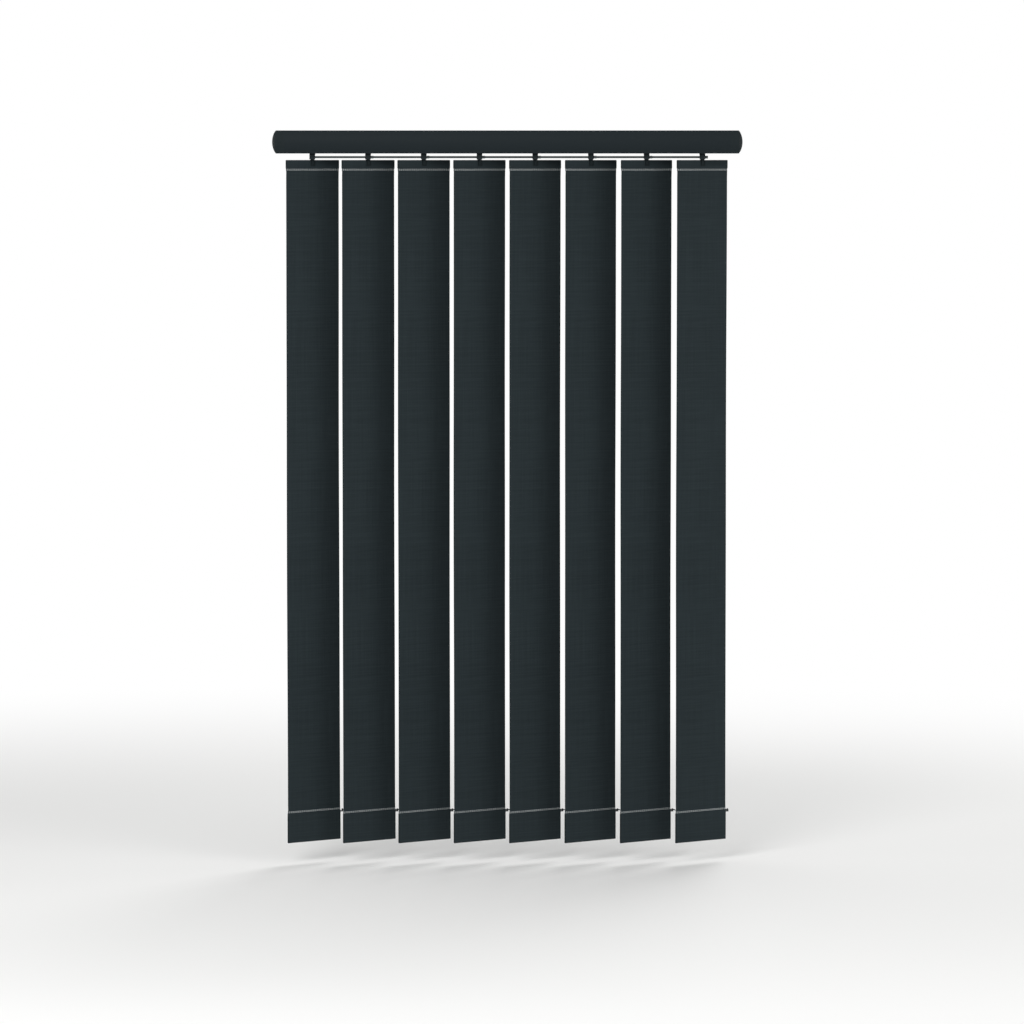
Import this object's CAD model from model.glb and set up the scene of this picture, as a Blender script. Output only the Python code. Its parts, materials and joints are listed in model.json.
"""Looks of a vertical blind: slate fabric vanes that hang and tilt under a coated headrail.

Metres. X runs along the rail, -Y faces the room and +Z is up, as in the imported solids.
"""

import itertools
import json
import logging
import math
from dataclasses import dataclass
from enum import Enum
from typing import Any, Mapping, Sequence

import bpy
import numpy as np
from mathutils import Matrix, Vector


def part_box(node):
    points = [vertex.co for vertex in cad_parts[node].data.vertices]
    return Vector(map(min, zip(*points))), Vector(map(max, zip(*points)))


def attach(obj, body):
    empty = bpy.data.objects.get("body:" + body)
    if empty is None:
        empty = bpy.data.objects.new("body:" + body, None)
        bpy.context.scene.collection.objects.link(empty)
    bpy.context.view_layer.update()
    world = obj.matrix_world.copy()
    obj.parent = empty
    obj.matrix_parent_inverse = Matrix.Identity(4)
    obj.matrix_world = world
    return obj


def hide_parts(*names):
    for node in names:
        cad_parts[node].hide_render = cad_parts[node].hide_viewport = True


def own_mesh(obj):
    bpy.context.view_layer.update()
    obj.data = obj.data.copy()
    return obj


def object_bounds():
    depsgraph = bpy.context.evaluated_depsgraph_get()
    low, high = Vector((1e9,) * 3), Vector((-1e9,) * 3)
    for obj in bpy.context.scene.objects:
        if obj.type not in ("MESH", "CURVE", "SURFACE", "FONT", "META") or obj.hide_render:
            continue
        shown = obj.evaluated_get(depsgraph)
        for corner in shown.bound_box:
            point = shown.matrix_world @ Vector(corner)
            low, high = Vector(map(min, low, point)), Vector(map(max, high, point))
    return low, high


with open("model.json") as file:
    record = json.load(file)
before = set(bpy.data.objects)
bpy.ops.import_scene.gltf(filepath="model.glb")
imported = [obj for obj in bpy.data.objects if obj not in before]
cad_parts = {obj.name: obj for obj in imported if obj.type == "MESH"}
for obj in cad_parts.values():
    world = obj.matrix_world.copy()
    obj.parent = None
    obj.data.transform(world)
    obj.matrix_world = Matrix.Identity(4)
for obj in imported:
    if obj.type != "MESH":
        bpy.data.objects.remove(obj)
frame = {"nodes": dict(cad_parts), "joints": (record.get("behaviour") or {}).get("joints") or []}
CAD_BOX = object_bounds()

LOG = logging.getLogger("vertical_blind")
MM = 0.001
CLOTH_UV = "cloth"
VANE_COUNT = 8
REST_TILT = math.radians(34.5)

Colour = tuple[float, float, float]
Scales = tuple[float, float, float]


def srgb(red: int, green: int, blue: int) -> Colour:
    """Turns a screen colour into the linear one that the shaders take.

    Args:
        red: Red, from 0 to 255.
        green: Green, from 0 to 255.
        blue: Blue, from 0 to 255.

    Returns:
        The linear colour.
    """
    def linear(channel: int) -> float:
        """Undoes the standard screen curve of one channel."""
        c = channel / 255
        return c / 12.92 if c <= 0.04045 else ((c + 0.055) / 1.055) ** 2.4
    return linear(red), linear(green), linear(blue)


class Shade(Enum):
    """The colours of the blind and its studio, as seen in plain light."""

    SLATE = srgb(37, 45, 48)
    SLATE_DEEP = srgb(29, 36, 39)
    SLATE_SOFT = srgb(46, 55, 58)
    COAT = srgb(26, 32, 35)
    MOULDING = srgb(24, 30, 32)
    STRIP_STEEL = srgb(66, 72, 72)
    ZINC = srgb(168, 171, 172)
    THREAD = srgb(224, 229, 230)
    THREAD_SHADE = srgb(82, 88, 88)
    NATURAL = srgb(196, 194, 186)
    FLOOR = srgb(238, 238, 237)
    WHITE = (1.0, 1.0, 1.0)


class Channel(Enum):
    """Inputs of the main shader that may change over a surface."""

    COLOUR = "Base Color"
    ROUGHNESS = "Roughness"
    NORMAL = "Normal"


class Crease(Enum):
    """Angles above which an edge of a smooth piece stays sharp."""

    CLIP = math.radians(40)
    CLOTH = math.radians(50)
    ROUND = math.radians(60)


class Value:
    """A shader socket that takes Python operators; each one adds a Math node."""

    def __init__(self, tree: "ShaderTree", socket: bpy.types.NodeSocket) -> None:
        """Keeps the socket and the tree that it belongs to."""
        self.tree = tree
        self.socket = socket

    def __add__(self, other: "Value | float") -> "Value":
        """Adds."""
        return self.tree.math("ADD", self, other)

    def __sub__(self, other: "Value | float") -> "Value":
        """Subtracts."""
        return self.tree.math("SUBTRACT", self, other)

    def __rsub__(self, other: float) -> "Value":
        """Subtracts from a number."""
        return self.tree.math("SUBTRACT", other, self)

    def __mul__(self, other: "Value | float") -> "Value":
        """Multiplies."""
        return self.tree.math("MULTIPLY", self, other)

    def __pow__(self, other: "Value | float") -> "Value":
        """Raises to a power."""
        return self.tree.math("POWER", self, other)

    def __gt__(self, other: "Value | float") -> "Value":
        """Gives one where this is greater, and nought elsewhere."""
        return self.tree.math("GREATER_THAN", self, other)

    def __abs__(self) -> "Value":
        """Takes the sign away."""
        return self.tree.math("ABSOLUTE", self)

    __radd__ = __add__
    __rmul__ = __mul__

    def sin(self) -> "Value":
        """Takes the sine of an angle in radians."""
        return self.tree.math("SINE", self)

    def beside(self, output: str) -> "Value":
        """Gives another output of the same node."""
        return Value(self.tree, self.socket.node.outputs[output])


Input = Value | float | Sequence[float]


class ShaderTree:
    """The node tree of one material or of the world, with short calls for its nodes."""

    def __init__(self, owner: bpy.types.Material | bpy.types.World) -> None:
        """Empties the owner's tree.

        Args:
            owner: The material or world to write.
        """
        owner.use_nodes = True
        self.nodes = owner.node_tree.nodes
        self.links = owner.node_tree.links
        self.nodes.clear()

    def feed(self, socket: bpy.types.NodeSocket, value: Input) -> None:
        """Links a value to a socket, or sets the socket to a number, vector or colour.

        Args:
            socket: The input to feed.
            value: A link, a number, a vector, or a colour without its alpha.
        """
        if isinstance(value, Value):
            self.links.new(value.socket, socket)
        elif isinstance(value, (int, float)):
            socket.default_value = value
        else:
            room = len(socket.default_value)
            socket.default_value = [*value, 1.0][:room] if room == 4 else list(value)

    def node(self, kind: str, settings: Mapping[str, Any] | None = None,
             sockets: Mapping[str | int, Input] | None = None, output: str | int = 0) -> Value | None:
        """Adds a node.

        Args:
            kind: The node's type, without its common first word.
            settings: Properties of the node, which are set first.
            sockets: Values or links of the inputs, by name or number.
            output: The output that the result stands for.

        Returns:
            The chosen output, or nothing where the node is the end of its tree.
        """
        node = self.nodes.new(f"ShaderNode{kind}")
        for name, setting in (settings or {}).items():
            setattr(node, name, setting)
        for name, value in (sockets or {}).items():
            self.feed(node.inputs[name], value)
        return Value(self, node.outputs[output]) if node.outputs else None

    def math(self, operation: str, *values: Input) -> Value:
        """Adds a Math node on its numbers and links."""
        return self.node("Math", {"operation": operation}, dict(enumerate(values)))

    def blend(self, share: Input, first: Input, second: Input) -> Value:
        """Mixes two colours by a share that goes from nought to one."""
        return self.node("Mix", {"data_type": "RGBA"}, {0: share, 6: first, 7: second}, output=2)

    def parts(self, vector: Value) -> tuple[Value, Value, Value]:
        """Splits a vector into its three numbers."""
        first = self.node("SeparateXYZ", sockets={0: vector})
        return first, first.beside("Y"), first.beside("Z")

    def noise(self, place: Value, scale: float, detail: float = 2.0) -> Value:
        """Adds even noise of the given scale, in waves to a metre."""
        return self.node("TexNoise", sockets={"Vector": place, "Scale": scale, "Detail": detail})

    def drawn_noise(self, place: Value, scales: Scales, detail: float = 2.0) -> Value:
        """Adds noise with its own scale along each axis, in waves to a metre."""
        return self.noise(self.stretched(place, scales), 1.0, detail)

    def stretched(self, place: Value, scales: Scales) -> Value:
        """Scales a place by its own factor along each axis."""
        return self.node("VectorMath", {"operation": "MULTIPLY"}, {0: place, 1: scales})

    def bump(self, height: Value, distance: float, strength: float) -> Value:
        """Turns a height into a normal.

        Args:
            height: The height, from nought to one.
            distance: The real height in metres that one stands for.
            strength: How much of the bump shows.

        Returns:
            The normal.
        """
        return self.node("Bump", sockets={"Strength": strength, "Distance": distance, "Height": height})

    def seen_white(self) -> Value:
        """Picks out the rays that are to find white: those of the camera, of gloss and of glass.

        Returns:
            One for those rays, and nought for the others.
        """
        camera = self.node("LightPath", output="Is Camera Ray")
        rays = camera + camera.beside("Is Glossy Ray") + camera.beside("Is Transmission Ray")
        return self.math("MINIMUM", rays, 1.0)

    def surface(self, varying: Mapping[Channel, Value], constant: Mapping[str, Input]) -> None:
        """Adds the main shader and the output.

        Args:
            varying: Links for inputs that change over the surface.
            constant: Numbers and colours that are the same all over.
        """
        inputs = {**constant, **{channel.value: value for channel, value in varying.items()}}
        shader = self.node("BsdfPrincipled", sockets=inputs)
        self.node("OutputMaterial", sockets={"Surface": shader})


@dataclass(frozen=True)
class Finish:
    """A finish with a name; each kind writes its own nodes."""

    name: str
    colour: Shade

    def write(self, tree: ShaderTree) -> None:
        """Writes the nodes of the finish."""
        raise NotImplementedError

    def material(self) -> bpy.types.Material:
        """Makes the material of this finish, once.

        Returns:
            The material that all pieces with this finish share.
        """
        found = bpy.data.materials.get(self.name)
        if found is None:
            found = bpy.data.materials.new(self.name)
            self.write(ShaderTree(found))
            found.diffuse_color = (*self.colour.value, 1.0)
        return found

    def dress(self, *objects: bpy.types.Object) -> None:
        """Puts the material on objects, in place of what they had.

        Args:
            objects: The pieces or carried-over solids to dress.
        """
        for obj in objects:
            obj.data.materials.clear()
            obj.data.materials.append(self.material())


@dataclass(frozen=True)
class WovenFabric(Finish):
    """Plain-woven cloth with slubs, laid out by the flat cloth's own coordinates."""

    yarn: float = 0.9 * MM
    relief: float = 0.16 * MM
    relief_shown: float = 0.7
    round_yarn: float = 0.9
    long_float: float = 0.3
    wander: float = 0.5
    wander_scale: float = 60.0
    weft_slubs: Scales = (14.0, 420.0, 1.0)
    warp_slubs: Scales = (520.0, 9.0, 1.0)
    cloud_scale: float = 7.0
    detail: float = 3.0
    weft_tone: float = 0.45
    warp_tone: float = 0.35
    cloud_tone: float = 0.2
    streaks: float = 2.4
    warp_light: float = 0.25
    gap_dark: float = 0.5
    thin_yarn: float = 0.75
    slub_height: float = 0.5
    roughness: float = 0.82
    slub_matt: float = 0.14
    gloss: float = 0.08
    sheen: float = 0.02
    sheen_roughness: float = 0.5

    def write(self, tree: ShaderTree) -> None:
        """Writes yarns that pass over and under each other, with slubs and a soft sheen.

        Args:
            tree: The tree of the cloth's material.
        """
        flat = tree.node("UVMap", {"uv_map": CLOTH_UV})
        across, along, _ = tree.parts(flat)
        turn = math.pi / self.yarn
        wander = (tree.noise(flat, self.wander_scale) - 0.5) * (self.wander * self.yarn)
        warp = ((across + wander) * turn).sin()
        weft = ((along + wander) * turn).sin()
        warp_over = warp * weft > 0.0
        warp_hump = abs(warp) ** self.round_yarn * abs(weft) ** self.long_float
        weft_hump = abs(warp) ** self.long_float * abs(weft) ** self.round_yarn
        pillow = weft_hump + warp_over * (warp_hump - weft_hump)
        slub_weft = tree.drawn_noise(flat, self.weft_slubs, self.detail)
        slub_warp = tree.drawn_noise(flat, self.warp_slubs, self.detail)
        cloud = tree.noise(flat, self.cloud_scale, self.detail)
        tone = slub_weft * self.weft_tone + slub_warp * self.warp_tone + cloud * self.cloud_tone
        streaky = (tone - 0.5) * self.streaks + 0.5
        yarn_colour = tree.blend(streaky, Shade.SLATE_DEEP.value, Shade.SLATE_SOFT.value)
        lit = tree.blend(warp_over * self.warp_light, yarn_colour, Shade.SLATE_SOFT.value)
        shaded = tree.blend((1.0 - pillow) * self.gap_dark, lit, Shade.SLATE_DEEP.value)
        height = pillow * (self.thin_yarn + slub_weft * self.slub_height)
        tree.surface(
            {Channel.COLOUR: shaded,
             Channel.ROUGHNESS: self.roughness + slub_warp * self.slub_matt,
             Channel.NORMAL: tree.bump(height, self.relief, self.relief_shown)},
            {"Specular IOR Level": self.gloss, "Sheen Weight": self.sheen,
             "Sheen Roughness": self.sheen_roughness},
        )


@dataclass(frozen=True)
class PowderCoat(Finish):
    """Satin coat with a fine orange peel, over metal drawn along X."""

    peel_scale: float = 1400.0
    peel_depth: float = 0.05 * MM
    peel_shown: float = 0.35
    peel_share: float = 0.8
    draw_lines: Scales = (4.0, 900.0, 900.0)
    dust_scale: float = 18.0
    dust_detail: float = 4.0
    dust_tone: float = 0.3
    line_tone: float = 0.15
    roughness: float = 0.46
    dust_matt: float = 0.12
    peel_matt: float = 0.06
    gloss: float = 0.06

    def write(self, tree: ShaderTree) -> None:
        """Writes the peel, faint draw lines and a dulled tone.

        Args:
            tree: The tree of the coat's material.
        """
        place = tree.node("TexCoord", output="Object")
        peel = tree.noise(place, self.peel_scale)
        drawn = tree.drawn_noise(place, self.draw_lines)
        dust = tree.noise(place, self.dust_scale, self.dust_detail)
        dulled = dust * self.dust_tone + drawn * self.line_tone
        height = peel * self.peel_share + drawn * (1.0 - self.peel_share)
        tree.surface(
            {Channel.COLOUR: tree.blend(dulled, self.colour.value, Shade.SLATE_DEEP.value),
             Channel.ROUGHNESS: self.roughness + dust * self.dust_matt + peel * self.peel_matt,
             Channel.NORMAL: tree.bump(height, self.peel_depth, self.peel_shown)},
            {"Specular IOR Level": self.gloss},
        )


@dataclass(frozen=True)
class MouldedPlastic(Finish):
    """Moulded plastic with a fine spark-eroded grain."""

    roughness: float = 0.5
    pale: Shade = Shade.SLATE_SOFT
    grain_scale: float = 2600.0
    grain_detail: float = 1.0
    grain_depth: float = 0.04 * MM
    grain_shown: float = 0.4
    grain_tone: float = 0.1
    grain_matt: float = 0.14
    flow_scale: float = 60.0
    flow_detail: float = 3.0
    flow_tone: float = 0.15
    flow_matt: float = 0.06
    gloss: float = 0.06

    def write(self, tree: ShaderTree) -> None:
        """Writes the grain and the slow change of tone.

        Args:
            tree: The tree of the plastic's material.
        """
        place = tree.node("TexCoord", output="Object")
        grain = tree.noise(place, self.grain_scale, self.grain_detail)
        flow = tree.noise(place, self.flow_scale, self.flow_detail)
        paled = flow * self.flow_tone + grain * self.grain_tone
        tree.surface(
            {Channel.COLOUR: tree.blend(paled, self.colour.value, self.pale.value),
             Channel.ROUGHNESS: self.roughness + grain * self.grain_matt + flow * self.flow_matt,
             Channel.NORMAL: tree.bump(grain, self.grain_depth, self.grain_shown)},
            {"Specular IOR Level": self.gloss},
        )


@dataclass(frozen=True)
class RolledMetal(Finish):
    """Bare or dulled metal with fine lines along X from rolling or drawing."""

    metallic: float = 1.0
    roughness: float = 0.4
    gloss: float = 0.4
    rolling_lines: Scales = (12.0, 2400.0, 2400.0)
    line_depth: float = 0.02 * MM
    line_shown: float = 0.4
    line_matt: float = 0.16
    patch_scale: float = 90.0
    patch_detail: float = 3.0
    patch_tone: float = 0.35
    patch_matt: float = 0.1

    def write(self, tree: ShaderTree) -> None:
        """Writes the rolling lines and dull patches.

        Args:
            tree: The tree of the metal's material.
        """
        place = tree.node("TexCoord", output="Object")
        lines = tree.drawn_noise(place, self.rolling_lines)
        patches = tree.noise(place, self.patch_scale, self.patch_detail)
        dulled = patches * self.patch_tone
        tree.surface(
            {Channel.COLOUR: tree.blend(dulled, self.colour.value, Shade.SLATE_SOFT.value),
             Channel.ROUGHNESS: self.roughness + lines * self.line_matt + patches * self.patch_matt,
             Channel.NORMAL: tree.bump(lines, self.line_depth, self.line_shown)},
            {"Metallic": self.metallic, "Specular IOR Level": self.gloss},
        )


@dataclass(frozen=True)
class SewingThread(Finish):
    """Spun thread with a twist along the cloth's width."""

    twist: float = 0.5 * MM
    strand_depth: float = 0.08 * MM
    strand_shown: float = 0.6
    strand_tone: float = 0.6
    fuzz_scale: float = 900.0
    fuzz_tone: float = 0.3
    fuzz_matt: float = 0.2
    roughness: float = 0.7
    gloss: float = 0.2
    sheen: float = 0.1

    def write(self, tree: ShaderTree) -> None:
        """Writes the twisted strands of the thread.

        Args:
            tree: The tree of the thread's material.
        """
        flat = tree.node("UVMap", {"uv_map": CLOTH_UV})
        along, around, _ = tree.parts(flat)
        strand = (along * (math.tau / self.twist) + around * math.tau).sin() * 0.5 + 0.5
        fuzz = tree.noise(flat, self.fuzz_scale)
        lit = strand * self.strand_tone + fuzz * self.fuzz_tone
        tree.surface(
            {Channel.COLOUR: tree.blend(lit, Shade.THREAD_SHADE.value, self.colour.value),
             Channel.ROUGHNESS: self.roughness + fuzz * self.fuzz_matt,
             Channel.NORMAL: tree.bump(strand, self.strand_depth, self.strand_shown)},
            {"Specular IOR Level": self.gloss, "Sheen Weight": self.sheen},
        )


FABRIC = WovenFabric("vane_weave", Shade.SLATE)
COAT = PowderCoat("rail_coat", Shade.COAT)
CAP_MOULDING = MouldedPlastic("cap_moulding", Shade.MOULDING)
STEM_MOULDING = MouldedPlastic("stem_moulding", Shade.MOULDING, roughness=0.42)
GEAR_MOULDING = MouldedPlastic("gear_moulding", Shade.NATURAL, roughness=0.35, pale=Shade.WHITE)
STRIP_STEEL = RolledMetal("spacer_strip", Shade.STRIP_STEEL, metallic=0.3, roughness=0.42, gloss=0.2)
ROD_METAL = RolledMetal("drawn_rod", Shade.ZINC, roughness=0.28)
ZINC_PLATE = RolledMetal("zinc_plate", Shade.ZINC, roughness=0.36)
BEAD_COAT = RolledMetal("chain_beads", Shade.MOULDING, metallic=0.2, roughness=0.3)
THREAD = SewingThread("seam_thread", Shade.THREAD)


def numbered(kind: str, count: int = VANE_COUNT) -> list[str]:
    """Gives the names of a row of like nodes."""
    return [f"{kind}_{k}" for k in range(1, count + 1)]


def node_objects(names: Sequence[str]) -> list[bpy.types.Object]:
    """Gives the carried-over objects of some nodes."""
    return [frame["nodes"][name] for name in names]


def new_object(name: str, points: np.ndarray, faces: Sequence[Sequence[int]],
               flat: np.ndarray | None = None) -> bpy.types.Object:
    """Makes a mesh object.

    Args:
        name: The piece's name.
        points: Its points in the shared frame.
        faces: Point numbers of each face.
        flat: Flat cloth coordinates of each point, kept as a map.

    Returns:
        The new object, in the scene.
    """
    mesh = bpy.data.meshes.new(name)
    mesh.from_pydata([tuple(p) for p in points], [], [tuple(int(i) for i in f) for f in faces])
    if flat is not None:
        layer = mesh.uv_layers.new(name=CLOTH_UV)
        corners = np.empty(len(mesh.loops), dtype=np.int32)
        mesh.loops.foreach_get("vertex_index", corners)
        layer.data.foreach_set("uv", np.asarray(flat, dtype=np.float32)[corners].ravel())
    mesh.update()
    obj = bpy.data.objects.new(name, mesh)
    bpy.context.scene.collection.objects.link(obj)
    return obj


def run_along(points: np.ndarray) -> np.ndarray:
    """Gives the length of a line of points up to each of them."""
    return np.concatenate(([0.0], np.cumsum(np.linalg.norm(np.diff(points, axis=0), axis=1))))


def circle(sides: int) -> np.ndarray:
    """Gives the points of a unit circle round X."""
    turns = np.linspace(0.0, math.tau, sides, endpoint=False)
    return np.column_stack((np.zeros(sides), np.cos(turns), np.sin(turns)))


def round_ended(rings: int, squareness: int) -> tuple[np.ndarray, np.ndarray]:
    """Shapes a bar with rounded ends.

    Args:
        rings: Number of rings along the bar.
        squareness: Even power, higher for a bar that keeps its girth further towards its ends.

    Returns:
        The place of each ring as a share of the length, and its girth as a share of the full one.
    """
    blunt_end = 0.12
    shares = np.linspace(0.0, 1.0, rings)
    return shares, np.sqrt(np.clip(1.0 - (2 * shares - 1) ** squareness, blunt_end, 1.0))


class Skin:
    """Points and faces of a piece, gathered one tube at a time."""

    def __init__(self) -> None:
        """Starts with nothing."""
        self.points: list[np.ndarray] = []
        self.faces: list[tuple[int, ...]] = []

    def tube(self, loops: Sequence[np.ndarray], closed: bool = False) -> None:
        """Joins loops of points into one watertight skin.

        Args:
            loops: Loops with the same number of points, in order along the tube.
            closed: Whether the last loop joins the first one; otherwise both ends get a face.
        """
        sides, base = len(loops[0]), len(self.points)
        for loop in loops:
            self.points.extend(loop)
        steps = len(loops) if closed else len(loops) - 1
        for i in range(steps):
            here, there = base + i * sides, base + (i + 1) % len(loops) * sides
            for j in range(sides):
                k = (j + 1) % sides
                self.faces.append((here + j, here + k, there + k, there + j))
        if not closed:
            last = base + (len(loops) - 1) * sides
            self.faces.append(tuple(base + j for j in reversed(range(sides))))
            self.faces.append(tuple(last + j for j in range(sides)))

    def build(self, name: str, flat: np.ndarray | None = None) -> bpy.types.Object:
        """Makes the object of what was gathered."""
        return new_object(name, np.array(self.points), self.faces, flat)


def smooth(obj: bpy.types.Object, crease: Crease) -> None:
    """Shades an object smooth, apart from its creases."""
    obj.data.polygons.foreach_set("use_smooth", [True] * len(obj.data.polygons))
    obj.data.set_sharp_from_angle(angle=crease.value)


def apply_modifiers(obj: bpy.types.Object) -> None:
    """Turns an object's modifiers into mesh.

    Args:
        obj: The object, which keeps no modifier.
    """
    seen = obj.evaluated_get(bpy.context.evaluated_depsgraph_get())
    mesh = bpy.data.meshes.new_from_object(seen)
    old = obj.data
    obj.modifiers.clear()
    obj.data = mesh
    bpy.data.meshes.remove(old)


def joint_place(name: str) -> Vector:
    """Reads where a joint's axis lies."""
    return next(Vector(joint["pos_m"]) for joint in frame["joints"] if joint["name"] == name)


def stem_axes() -> list[Vector]:
    """Reads where the vanes turn from the tilt joints."""
    return [joint_place(f"{name}_tilt") for name in numbered("vane")]


@dataclass
class Headrail:
    """The coated extrusion with its caps and ceiling brackets."""

    rail: str = "headrail"
    caps: str = "end_caps"
    brackets: str = "ceiling_brackets"

    def dress(self) -> None:
        """Puts finishes on the carried-over solids."""
        COAT.dress(frame["nodes"][self.rail])
        CAP_MOULDING.dress(frame["nodes"][self.caps])
        ZINC_PLATE.dress(frame["nodes"][self.brackets])
        LOG.info("headrail, end caps and ceiling brackets dressed")


@dataclass
class Gearing:
    """What runs and turns in the rail, and what hangs the vanes from it."""

    rod: str = "tilt_rod"

    def dress(self) -> None:
        """Puts finishes on the carried-over solids."""
        ROD_METAL.dress(frame["nodes"][self.rod])
        GEAR_MOULDING.dress(*node_objects(numbered("worm")))
        for kind in ("carrier", "stem", "hanger", "weight"):
            STEM_MOULDING.dress(*node_objects(numbered(kind)))
        STRIP_STEEL.dress(*node_objects(numbered("spacer", VANE_COUNT - 1)))
        LOG.info("tilt gear, carriers, stems, hangers, weights and spacers dressed")


@dataclass
class Vane:
    """One length of cloth, folded and sewn into a pocket at each end."""

    number: int
    axis: Vector
    width: float = 89 * MM
    cloth: float = 0.5 * MM
    top_pocket: float = 13 * MM
    bottom_pocket: float = 44 * MM
    pocket_half: float = 1.25 * MM
    taper: float = 2 * MM
    hem: float = 3 * MM
    layer_gap: float = 0.04 * MM
    ease: float = 8 * MM
    notch_half: float = 4 * MM
    notch_depth: float = 8.5 * MM
    notch_slack: float = 0.01 * MM
    columns: int = 22
    row_step: float = 8 * MM
    arc_steps: int = 8
    cup: float = 1.1 * MM
    cup_spread: float = 0.25
    cup_level: float = 0.4
    sway: float = 0.35 * MM
    sway_waves: float = 1.5
    phase_step: float = 1.7
    stitch: float = 3.2 * MM
    stitch_gap: float = 0.45 * MM
    thread_r: float = 0.42 * MM
    thread_sides: int = 6
    thread_rings: int = 5
    thread_squareness: int = 4
    thread_sunk: float = 0.55
    seam_end: float = 0.2 * MM
    seam_rows: tuple[float, ...] = (0.1 * MM, 1.5 * MM)

    @property
    def node(self) -> str:
        """Name of the vane's solid and of its body."""
        return f"vane_{self.number}"

    def heights(self) -> tuple[float, float]:
        """Gives the top and bottom of the vane's solid."""
        low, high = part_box(self.node)
        return high[2], low[2]

    def to_row(self, local: np.ndarray) -> np.ndarray:
        """Turns points along, across and up the vane into the shared frame.

        Args:
            local: Points as along, across, height.

        Returns:
            The points in the shared frame.
        """
        cos, sin = math.cos(REST_TILT), math.sin(REST_TILT)
        along, across, height = local[:, 0], local[:, 1], local[:, 2]
        return np.column_stack((self.axis.x + along * cos - across * sin,
                                self.axis.y + along * sin + across * cos, height))

    def pocket_path(self, fold: float, inward: float, depth: float) -> list[tuple[float, float]]:
        """Follows the cloth of a pocket from its hem, round the fold, to below its seam.

        Args:
            fold: Height of the outside of the fold.
            inward: Direction from the fold to the seam, -1 down or 1 up.
            depth: Distance from the fold to the seam.

        Returns:
            Points as across and height, from the hem's raw end to the plain cloth.
        """
        lay = (self.cloth + self.layer_gap) / 2
        half = self.pocket_half
        bend = fold + inward * (half + self.cloth / 2)
        seam = fold + inward * depth
        wide = fold + inward * (depth - self.taper)
        notch = fold + inward * self.notch_depth
        back = [(lay, seam + inward * self.hem), (lay, seam), (half, wide), (half, notch)]
        arc = [(half * math.cos(a), bend - inward * half * math.sin(a))
               for a in np.linspace(0.0, math.pi, self.arc_steps + 1)]
        front = [(-half, notch), (-half, wide), (-lay, seam), (-lay, seam + inward * self.hem),
                 (0.0, seam + inward * (self.hem + self.ease))]
        return back + arc + front

    def path(self) -> np.ndarray:
        """Follows the whole cloth from its top hem to its bottom hem.

        Returns:
            Points as across and height.
        """
        top, bottom = self.heights()
        upper = self.pocket_path(top, -1.0, self.top_pocket)
        lower = self.pocket_path(bottom, 1.0, self.bottom_pocket)
        start, end = upper[-1][1], lower[-1][1]
        rows = max(2, round((start - end) / self.row_step))
        plain = [(0.0, z) for z in np.linspace(start, end, rows + 1)[1:-1]]
        return np.array(upper + plain + lower[::-1])

    def bow(self, along: np.ndarray, height: np.ndarray) -> np.ndarray:
        """Shapes the slight cup and sway of the cloth, with none at the stiffened pockets.

        Args:
            along: Places along the vane's width, from its middle.
            height: Heights of the same points.

        Returns:
            How far each point stands off the flat plane.
        """
        top, bottom = self.heights()
        share = np.clip((height - bottom - self.bottom_pocket)
                        / (top - self.top_pocket - bottom - self.bottom_pocket), 0.0, 1.0)
        free = np.sin(math.pi * share) ** 2
        side = along / (self.width / 2)
        phase = self.phase_step * self.number
        curl = self.cup * (1.0 + self.cup_spread * math.sin(phase)) * (side ** 2 - self.cup_level)
        drift = self.sway * side * np.sin(math.tau * self.sway_waves * share + phase)
        return free * (curl + drift)

    def build_cloth(self) -> bpy.types.Object:
        """Builds the folded cloth, with its notch, as a sheet of real thickness.

        Returns:
            The cloth.
        """
        path = self.path()
        run = run_along(path)
        half = self.width / 2
        sides = np.linspace(self.notch_half, half, self.columns // 2)
        columns = np.concatenate((-sides[::-1], [0.0], sides))
        along, row = np.meshgrid(columns, np.arange(len(path)))
        along, row = along.ravel(), row.ravel()
        height = path[row, 1]
        across = path[row, 0] + self.bow(along, height)
        points = self.to_row(np.column_stack((along, across, height)))
        flat = np.column_stack((along + half, run[row]))
        top = self.heights()[0]
        notch_floor = top - self.notch_depth - self.notch_slack
        faces = []
        count = len(columns)
        for i in range(len(path) - 1):
            in_fold = min(path[i, 1], path[i + 1, 1]) > notch_floor
            for j in range(count - 1):
                in_notch = in_fold and abs(columns[j] + columns[j + 1]) / 2 < self.notch_half
                if not in_notch:
                    a = i * count + j
                    faces.append((a, a + count, a + count + 1, a + 1))
        obj = new_object(f"cloth_{self.number}", points, faces, flat)
        skin = obj.modifiers.new("thickness", "SOLIDIFY")
        skin.thickness = self.cloth
        skin.offset = 0.0
        apply_modifiers(obj)
        smooth(obj, Crease.CLOTH)
        return obj

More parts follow.
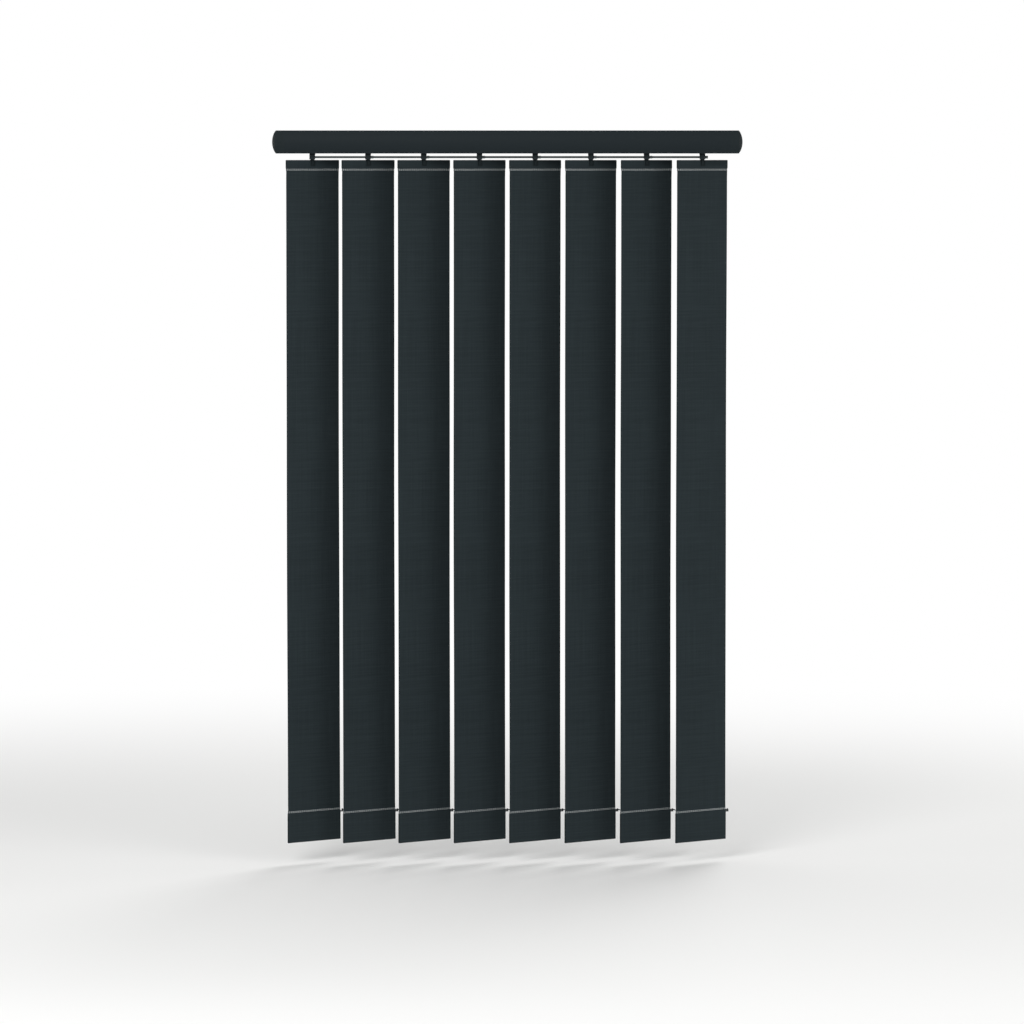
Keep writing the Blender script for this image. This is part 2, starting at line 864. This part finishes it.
    def build_stitching(self) -> bpy.types.Object:
        """Builds the twin rows of both seams, on both faces, stitch by stitch.

        Returns:
            The stitches of this vane.
        """
        top, bottom = self.heights()
        rows = [top - self.top_pocket - past for past in self.seam_rows]
        rows += [bottom + self.bottom_pocket + past for past in self.seam_rows]
        seam = self.width - 2 * self.seam_end
        count = round(seam / (self.stitch + self.stitch_gap))
        pitch = seam / count
        starts = (np.arange(count) - count / 2) * pitch + self.stitch_gap / 2
        around = circle(self.thread_sides)
        shares, girths = round_ended(self.thread_rings, self.thread_squareness)
        skin, flat = Skin(), []
        for row, face, start in itertools.product(rows, (-1.0, 1.0), starts):
            loops = []
            for share, girth in zip(shares, girths):
                proud = self.cloth + (girth - self.thread_sunk) * self.thread_r
                along = start + share * (pitch - self.stitch_gap)
                loops.append(np.array((along, face * proud, row)) + self.thread_r * girth * around)
                flat += [(along + self.width, j / self.thread_sides) for j in range(self.thread_sides)]
            skin.tube(loops)
        skin.points = list(self.to_row(np.array(skin.points)))
        obj = skin.build(f"stitching_{self.number}", np.array(flat))
        smooth(obj, Crease.ROUND)
        return obj

    def build(self) -> None:
        """Builds the cloth and its stitching, dresses them and hangs them on the vane's body."""
        cloth = self.build_cloth()
        stitching = self.build_stitching()
        FABRIC.dress(cloth)
        THREAD.dress(stitching)
        for piece in (cloth, stitching):
            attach(piece, self.node)
        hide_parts(self.node)
        length = float(run_along(self.path())[-1])
        LOG.info("vane %d hung, cloth %.3f m long", self.number, length)


@dataclass
class BottomChain:
    """The bead chain that links the weights at the rear edge of the vanes.

    The route gives the points of one span, as a share of it in hundredths and a drop in millimetres.
    """

    diameter: float = 2 * MM
    length: float = 0.571
    back: float = 2.4 * MM
    beads_in_span: int = 30
    bead_rings: int = 7
    bead_pole: float = 0.2
    sides: int = 10
    wire_r: float = 0.35 * MM
    link_r: float = 0.9 * MM
    link_half: float = 5 * MM
    link_past: float = 1.2 * MM
    link_rings: int = 13
    link_squareness: int = 8
    clip_r: float = 1.1 * MM
    clip_half_w: float = 0.28 * MM
    clip_half_h: float = 0.5 * MM
    clip_steps: int = 32
    clip_roundness: float = 0.6
    stacked_share: float = 27 / 80
    route: tuple[tuple[float, float], ...] = (
        (0, 0), (2, 0), (6, 1.2), (14, 3), (24, 4.7), (36, 5.9), (50, 6.4),
        (64, 5.9), (76, 4.7), (86, 3), (94, 1.2), (98, 0))

    def pegs(self) -> list[Vector]:
        """Finds the pegs of the weights.

        Returns:
            The middle of the clip on each peg.
        """
        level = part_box("bottom_chain")[1][2] - self.diameter / 2
        axes = stem_axes()
        shift = joint_place("chain_swing") - axes[0]
        return [Vector((axis.x + shift.x, axis.y + shift.y, level)) for axis in axes]

    def line(self) -> np.ndarray:
        """Follows the chain from the first peg to the last.

        Returns:
            The route's points in each span, and the chain's end.
        """
        pegs = self.pegs()
        points = []
        for first, second in zip(pegs, pegs[1:]):
            span = second.x - first.x
            points += [(first.x + share * span / 100, first.y + self.back, first.z - drop * MM)
                       for share, drop in self.route]
        last = pegs[-1]
        return np.array([*points, (last.x, last.y + self.back, last.z)])

    def bead_places(self, line: np.ndarray) -> np.ndarray:
        """Spreads beads evenly along the chain, so that each peg falls between two of them.

        Args:
            line: Points of the chain.

        Returns:
            The middle of each bead.
        """
        run = run_along(line)
        count = self.beads_in_span * (VANE_COUNT - 1)
        places = (np.arange(count) + 0.5) * run[-1] / count
        return np.column_stack([np.interp(places, run, line[:, i]) for i in range(3)])

    def link_loops(self, line: np.ndarray, peg: Vector) -> list[np.ndarray]:
        """Follows the chain through the moulded link at one peg.

        Args:
            line: Points of the chain.
            peg: The middle of the peg's clip.

        Returns:
            Loops of points along the link.
        """
        first = max(peg.x - self.link_half, line[0, 0] - self.link_past)
        last = min(peg.x + self.link_half, line[-1, 0] + self.link_past)
        shares, girths = round_ended(self.link_rings, self.link_squareness)
        places = first + shares * (last - first)
        heights = np.interp(places, line[:, 0], line[:, 2])
        around = circle(self.sides)
        return [np.array((x, peg.y + self.back, z)) + self.link_r * girth * around
                for x, z, girth in zip(places, heights, girths)]

    def build_beads(self) -> bpy.types.Object:
        """Builds the wire with its beads and links, and the shank that joins each link to its clip.

        Returns:
            The chain, without the clips.
        """
        line, pegs = self.line(), self.pegs()
        around = circle(self.sides)
        skin = Skin()
        skin.tube([place + self.wire_r * around for place in line])
        shank = self.wire_r * around[:, [1, 0, 2]]
        for peg in pegs:
            skin.tube([np.array((peg.x, peg.y + reach, peg.z)) + shank
                       for reach in (self.back, self.clip_r)])
            skin.tube(self.link_loops(line, peg))
        latitudes = np.linspace(self.bead_pole, math.pi - self.bead_pole, self.bead_rings)
        ball = [math.sin(a) * around - np.array((math.cos(a), 0.0, 0.0)) for a in latitudes]
        peg_x = np.array([peg.x for peg in pegs])
        for place in self.bead_places(line):
            if np.abs(peg_x - place[0]).min() > self.link_half:
                skin.tube([place + self.diameter / 2 * loop for loop in ball])
        obj = skin.build("bead_chain")
        smooth(obj, Crease.ROUND)
        return obj

    def build_clip(self, number: int, peg: Vector) -> bpy.types.Object:
        """Builds the round clip that holds the chain on one peg.

        Args:
            number: The peg's number in the row.
            peg: The middle of the clip.

        Returns:
            The clip.
        """
        section = circle(self.sides)[:, 1:]
        flattened = np.sign(section) * np.abs(section) ** self.clip_roundness
        loops = []
        for turn in np.linspace(math.tau, 0.0, self.clip_steps, endpoint=False):
            reach = self.clip_r + self.clip_half_w * flattened[:, 0]
            loops.append(np.column_stack((peg.x + reach * math.cos(turn), peg.y + reach * math.sin(turn),
                                          peg.z + self.clip_half_h * flattened[:, 1])))
        skin = Skin()
        skin.tube(loops, closed=True)
        clip = skin.build(f"chain_clip_{number}")
        smooth(clip, Crease.CLIP)
        return clip

    def build(self) -> None:
        """Builds chain and clips, and hangs them on their bodies."""
        pegs = self.pegs()
        beads = self.build_beads()
        clips = [self.build_clip(k, peg) for k, peg in enumerate(pegs, start=1)]
        BEAD_COAT.dress(beads)
        STEM_MOULDING.dress(*clips)
        for clip, body in zip(clips, numbered("vane")):
            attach(clip, body)
        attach(beads, "bottom_chain")
        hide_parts("bottom_chain")
        line = self.line()
        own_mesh(beads)
        LOG.info("bead chain hung from %d pegs", len(pegs))


@dataclass(frozen=True)
class Lamp:
    """A soft round lamp."""

    name: str
    place: tuple[float, float, float]
    size: float
    power: float


@dataclass
class Studio:
    """Floor, light and camera."""

    floor_drop: float = 30 * MM
    floor_half: float = 14.0
    floor_roughness: float = 0.9
    floor_gloss: float = 0.1
    fade_start: float = 0.9
    fade_end: float = 2.6
    world_light: float = 0.45
    lamps: tuple[Lamp, ...] = (
        Lamp("key", (-1.5, -3.6, 1.2), size=2.4, power=116.0),
        Lamp("fill", (2.6, -2.4, 0.4), size=2.4, power=24.0),
        Lamp("rim", (1.2, 3.0, 1.8), size=2.0, power=64.0),
    )
    camera_x: float = 6.7 * MM
    camera_distance: float = 7.5
    camera_height: float = -30 * MM
    camera_pitch: float = math.radians(3.96)
    lens: float = 183.12
    sensor: float = 36.0
    view_end: float = 100.0

    def build_floor(self) -> None:
        """Lays a pale floor that keeps the shadow and runs out into white."""
        low = CAD_BOX[0][2] - self.floor_drop
        half = self.floor_half
        corners = np.array([(-half, -half, low), (half, -half, low), (half, half, low), (-half, half, low)])
        floor = new_object("floor", corners, [(0, 1, 2, 3)])
        material = bpy.data.materials.new("pale_floor")
        tree = ShaderTree(material)
        place = tree.node("NewGeometry", output="Position")
        level = tree.stretched(place, (1.0, 1.0, 0.0))
        reach = tree.node("VectorMath", {"operation": "LENGTH"}, {0: level}, output="Value")
        fade = tree.node("MapRange", {"interpolation_type": "SMOOTHSTEP"},
                         {"Value": reach, "From Min": self.fade_start, "From Max": self.fade_end})
        matt = tree.node("BsdfPrincipled", sockets={
            "Base Color": Shade.FLOOR.value, "Roughness": self.floor_roughness,
            "Specular IOR Level": self.floor_gloss})
        bright = tree.node("Emission", sockets={"Color": Shade.WHITE.value, "Strength": 1.0})
        mix = tree.node("MixShader", sockets={0: fade * tree.seen_white(), 1: matt, 2: bright})
        tree.node("OutputMaterial", sockets={"Surface": mix})
        floor.data.materials.append(material)

    def build_world(self) -> None:
        """Sets an even pale sky that the camera and gloss see as white."""
        world = bpy.data.worlds.new("studio")
        bpy.context.scene.world = world
        tree = ShaderTree(world)
        strength = tree.seen_white() * (1.0 - self.world_light) + self.world_light
        back = tree.node("Background", sockets={"Color": Shade.WHITE.value, "Strength": strength})
        tree.node("OutputWorld", sockets={"Surface": back})

    def hang_lamp(self, lamp: Lamp) -> None:
        """Hangs a lamp that faces the middle of the blind.

        Args:
            lamp: The lamp's name, place, size and power.
        """
        light = bpy.data.lights.new(lamp.name, "AREA")
        light.shape = "DISK"
        light.size = lamp.size
        light.energy = lamp.power
        obj = bpy.data.objects.new(lamp.name, light)
        obj.location = lamp.place
        target = Vector((0.0, 0.0, CAD_BOX[0][2] / 2))
        obj.rotation_euler = (target - Vector(lamp.place)).to_track_quat("-Z", "Y").to_euler()
        bpy.context.scene.collection.objects.link(obj)

    def build_camera(self) -> None:
        """Sets the camera level with the rail, well back, looking slightly down."""
        data = bpy.data.cameras.new("camera")
        data.sensor_width = self.sensor
        data.lens = self.lens
        data.clip_end = self.view_end
        camera = bpy.data.objects.new("camera", data)
        camera.location = (self.camera_x, -self.camera_distance, self.camera_height)
        camera.rotation_euler = (math.pi / 2 - self.camera_pitch, 0.0, 0.0)
        bpy.context.scene.collection.objects.link(camera)
        bpy.context.scene.camera = camera

    def build(self) -> None:
        """Builds camera, floor, sky and lamps."""
        self.build_camera()
        self.build_floor()
        self.build_world()
        for lamp in self.lamps:
            self.hang_lamp(lamp)
        bpy.context.scene.view_settings.view_transform = "Standard"
        LOG.info("studio set")


def main() -> None:
    """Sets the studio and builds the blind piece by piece."""
    logging.basicConfig(level=logging.INFO, format="%(name)s: %(message)s")
    Studio().build()
    BottomChain().build()
    Headrail().dress()
    Gearing().dress()
    for number, axis in enumerate(stem_axes(), start=1):
        Vane(number, axis).build()


if __name__ == "__main__":
    main()
